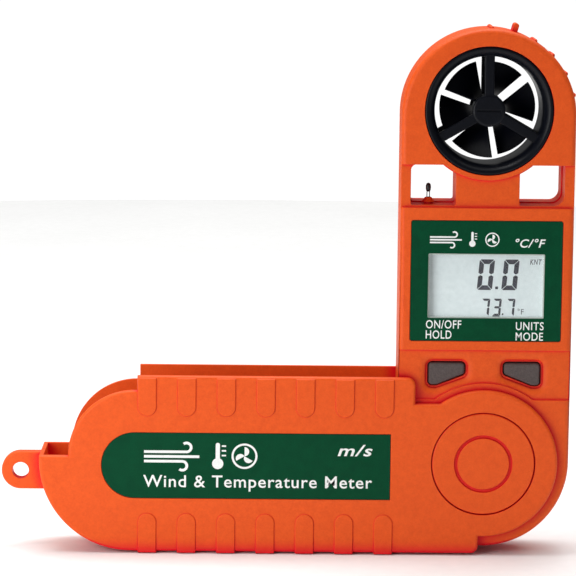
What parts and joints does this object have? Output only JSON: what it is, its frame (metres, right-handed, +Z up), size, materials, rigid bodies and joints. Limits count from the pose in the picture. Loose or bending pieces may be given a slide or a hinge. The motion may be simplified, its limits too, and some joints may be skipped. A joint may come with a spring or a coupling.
{
  "type": "handheld weather meter",
  "caption": "Pocket wind and temperature meter with a vane impeller in a round head, a display and keys, folding on a pivot hub out of a channel-shaped cover with a lanyard loop.",
  "frame": {"origin": "middle of the footprint: centre of the bounding box in X and Y, at the underside of the cover's lower grip ribs", "axes": "+Z up; -Y towards the viewer, the side with the display and keys; the cover runs along -X from the pivot and the meter stands up along +Z"},
  "size_m": [0.141, 0.019, 0.1315],
  "materials": {
    "orange_abs": "fine satin, moulded",
    "green_film": "printed polyester film",
    "silicone_rubber": "matte",
    "screw_steel": "zinc plated",
    "clear_acrylic": "clear, polished",
    "lcd_glass": "pale grey-green reflective display",
    "circuit_laminate": "solder mask",
    "black_epoxy": "moulded package",
    "grey_rubber": "matte silicone key",
    "cell_steel": "bright",
    "contact_brass": "plated spring strip",
    "black_abs": "satin",
    "impeller_abs": "light gloss",
    "magnet": "sintered",
    "shaft_steel": "polished",
    "ruby": "polished synthetic ruby",
    "thermistor_epoxy": "epoxy bead on tinned leads",
    "copper": "enamelled winding"
  },
  "bodies": {
    "cover": {"cover_front": "orange_abs", "cover_back": "orange_abs", "cover_label": "green_film"},
    "meter": {"front_shell": "orange_abs", "back_shell": "orange_abs", "shell_gasket": "silicone_rubber", "body_screw_1": "screw_steel", "body_screw_2": "screw_steel", "body_screw_3": "screw_steel", "body_screw_4": "screw_steel", "display_label": "green_film", "display_lens": "clear_acrylic", "lcd_panel": "lcd_glass", "zebra_strip_upper": "silicone_rubber", "zebra_strip_lower": "silicone_rubber", "circuit_board": "circuit_laminate", "display_driver_chip": "black_epoxy", "tact_switch_left": "black_epoxy", "tact_switch_right": "black_epoxy", "coin_cell": "cell_steel", "contact_negative": "contact_brass", "contact_positive": "contact_brass", "fan_duct": "black_abs", "rear_bearing_bridge": "black_abs", "jewel_front": "ruby", "jewel_rear": "ruby", "thermistor": "thermistor_epoxy", "thermistor_grommet": "orange_abs", "pickup_coil": "copper", "pickup_wire": "copper"},
    "rotor": {"impeller": "impeller_abs", "rotor_magnet": "magnet", "rotor_shaft": "shaft_steel"},
    "key_left": {"button_left": "grey_rubber"},
    "key_right": {"button_right": "grey_rubber"},
    "battery_cover": {"battery_cap": "orange_abs", "battery_cap_ring": "silicone_rubber"}
  },
  "joints": [
    {"name": "head_fold", "type": "hinge", "parent": "cover", "child": "meter", "pos_m": [0.04918, 0, 0.023], "axis": [0, 1, 0], "range_deg": [-90, 90]},
    {"name": "impeller_spin", "type": "hinge", "parent": "meter", "child": "rotor", "pos_m": [0.04918, 0, 0.1102], "axis": [0, 1, 0], "continuous": true},
    {"name": "key_left_press", "type": "slide", "parent": "meter", "child": "key_left", "axis": [0, 1, 0], "range_m": [0, 0.0008], "stiffness_N_per_m": 1200},
    {"name": "key_right_press", "type": "slide", "parent": "meter", "child": "key_right", "axis": [0, 1, 0], "range_m": [0, 0.0008], "stiffness_N_per_m": 1200},
    {"name": "battery_cover_turn", "type": "hinge", "parent": "meter", "child": "battery_cover", "pos_m": [0.04918, 0, 0.023], "axis": [0, 1, 0], "range_deg": [0, 90]}
  ]
}
